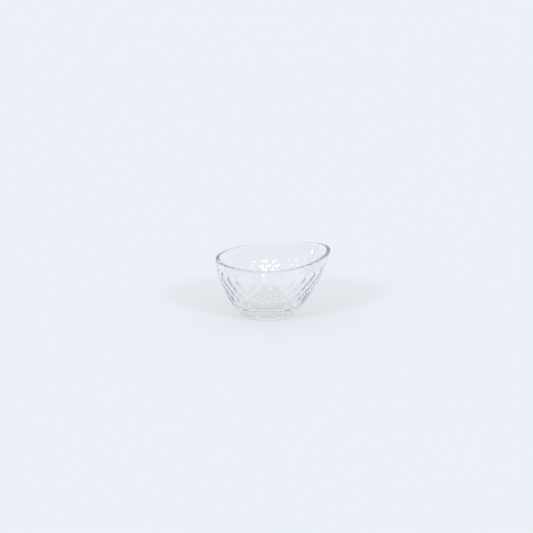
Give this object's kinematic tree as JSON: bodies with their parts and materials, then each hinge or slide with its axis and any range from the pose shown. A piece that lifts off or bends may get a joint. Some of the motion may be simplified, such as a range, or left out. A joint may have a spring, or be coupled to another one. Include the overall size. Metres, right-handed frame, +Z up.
{
  "type": "glass bowl",
  "caption": "Small clear pressed-glass bowl with a slanted rim that rises to a lip on one side, a plain outside, a lattice of shallow diamond-shaped hollows on the inside of the wall and a low round foot.",
  "frame": {"origin": "on the table, under the middle of the bowl's outline seen from above", "axes": "+X towards the raised lip, +Z up, out of the bowl's mouth"},
  "size_m": [0.1132, 0.111, 0.0669],
  "materials": {
    "clear_glass": "polished, fire-glazed pressed glass"
  },
  "bodies": {
    "root": {"bowl": "clear_glass"}
  },
  "joints": []
}
